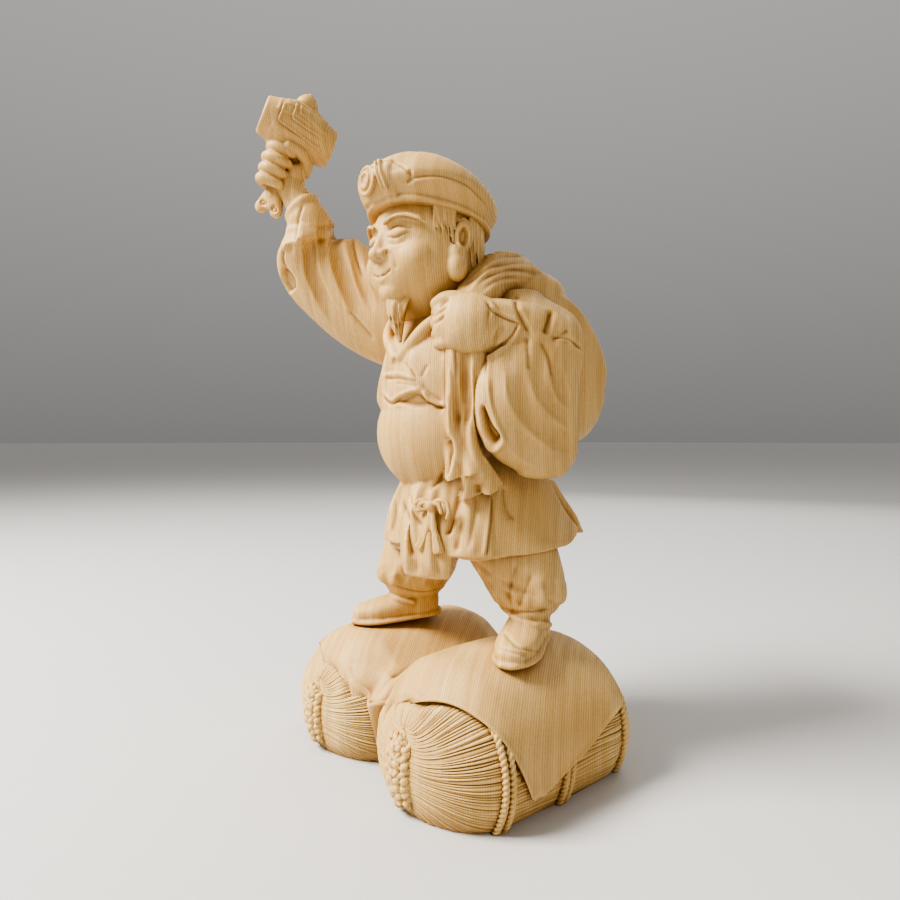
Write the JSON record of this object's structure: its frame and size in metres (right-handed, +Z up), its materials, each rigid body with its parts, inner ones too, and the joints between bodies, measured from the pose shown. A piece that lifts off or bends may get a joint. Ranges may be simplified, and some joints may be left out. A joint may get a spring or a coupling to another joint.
{
  "type": "carved wooden daikoku figure",
  "caption": "Carved wooden figure of the god of wealth: mallet raised, sack over the shoulder, standing on straw rice bales under a cloth.",
  "frame": {"origin": "middle of the flat underside of the two bales, between their axes", "axes": "+Z up; the figure's chest and belly face -Y; its left hand, with the sack's neck, is on the +X side"},
  "size_m": [0.1373, 0.138, 0.2819],
  "materials": {
    "carved_wood": "bare pale fine-grained wood, cut with a sharp knife, smooth on the body and tooled on the straw"
  },
  "bodies": {
    "root": {"daikoku_figure": "carved_wood"}
  },
  "joints": []
}
